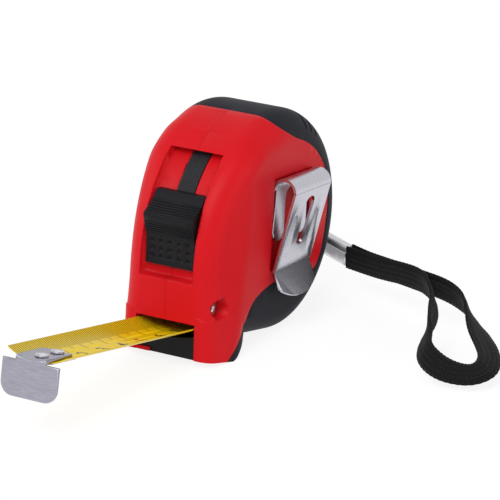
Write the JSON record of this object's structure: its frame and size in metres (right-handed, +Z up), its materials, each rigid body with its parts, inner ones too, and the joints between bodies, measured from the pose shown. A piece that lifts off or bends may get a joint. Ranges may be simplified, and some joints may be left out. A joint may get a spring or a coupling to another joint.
{
  "type": "tape measure",
  "caption": "Pocket tape measure with a rubber-gripped case, thumb lock, partly drawn blade with sliding end hook, folded steel belt clip and braided wrist strap.",
  "frame": {"origin": "middle of the foot's flat underside, at the case's centre plane", "axes": "+Z up, +Y towards the back of the case, -Y the way the blade is drawn out, +X towards the side with the belt clip; the case is tipped back onto its heel and belly as it rests"},
  "size_m": [0.1056, 0.1482, 0.0656],
  "materials": {
    "red_case": "satin moulded ABS, red",
    "black_grip": "soft overmoulded rubber, matt black",
    "black_plastic": "moulded plastic, black, fine grain",
    "yellow_blade": "lacquered spring steel, yellow with printed scale",
    "hook_steel": "brushed and nickel-plated steel",
    "bright_steel": "nickel-plated spring steel, bright",
    "spring_steel": "blued spring steel",
    "white_plastic": "plain moulded plastic, off-white",
    "strap_fabric": "woven polyester braid, black"
  },
  "bodies": {
    "case": {"right_shell": "red_case", "left_shell": "red_case", "right_grip": "black_grip", "left_grip": "black_grip", "mouth_lip": "black_plastic", "centre_post": "hook_steel", "spring_arbor": "white_plastic", "right_liner": "white_plastic", "left_liner": "white_plastic", "case_screws": "bright_steel", "belt_clip": "bright_steel", "strap_lug": "black_plastic", "blade_strip": "yellow_blade", "blade_lead": "yellow_blade"},
    "lock": {"lock_button": "black_plastic", "lock_strip": "black_grip", "brake_arm": "black_plastic", "brake_pad": "black_grip"},
    "blade": {"hook_rivets": "hook_steel", "tip_plate": "hook_steel"},
    "hook": {"end_hook": "hook_steel"},
    "drum": {"spool": "white_plastic", "spool_cover": "white_plastic", "blade_coil": "yellow_blade", "power_spring": "spring_steel"},
    "strap": {"strap_ferrule": "bright_steel", "strap_pin": "bright_steel", "wrist_strap": "strap_fabric"}
  },
  "joints": [
    {"name": "drum_spin", "type": "hinge", "parent": "case", "child": "drum", "pos_m": [0, 0.03627, 0.03166], "axis": [-1, 0, 0], "range_deg": [-154.5, 0]},
    {"name": "blade_pull", "type": "slide", "parent": "case", "child": "blade", "axis": [0, -0.976, 0.2178], "range_m": [-0.069, 0], "deforming": ["blade_strip"]},
    {"name": "hook_slip", "type": "slide", "parent": "blade", "child": "hook", "axis": [0, -0.976, 0.2178], "range_m": [-0.0005, 0.0005]},
    {"name": "lock_slide", "type": "hinge", "parent": "case", "child": "lock", "pos_m": [0, 0.03826, 0.02374], "axis": [-1, 0, 0], "range_deg": [0, 16]},
    {"name": "strap_swing", "type": "hinge", "parent": "case", "child": "strap", "pos_m": [0, 0.0713, 0.0158], "axis": [0, 0, 1], "range_deg": [0, 70]}
  ],
  "couplings": [
    {"joint": "blade_pull", "follows": "drum_spin", "m_per_rad": 0.0255}
  ]
}
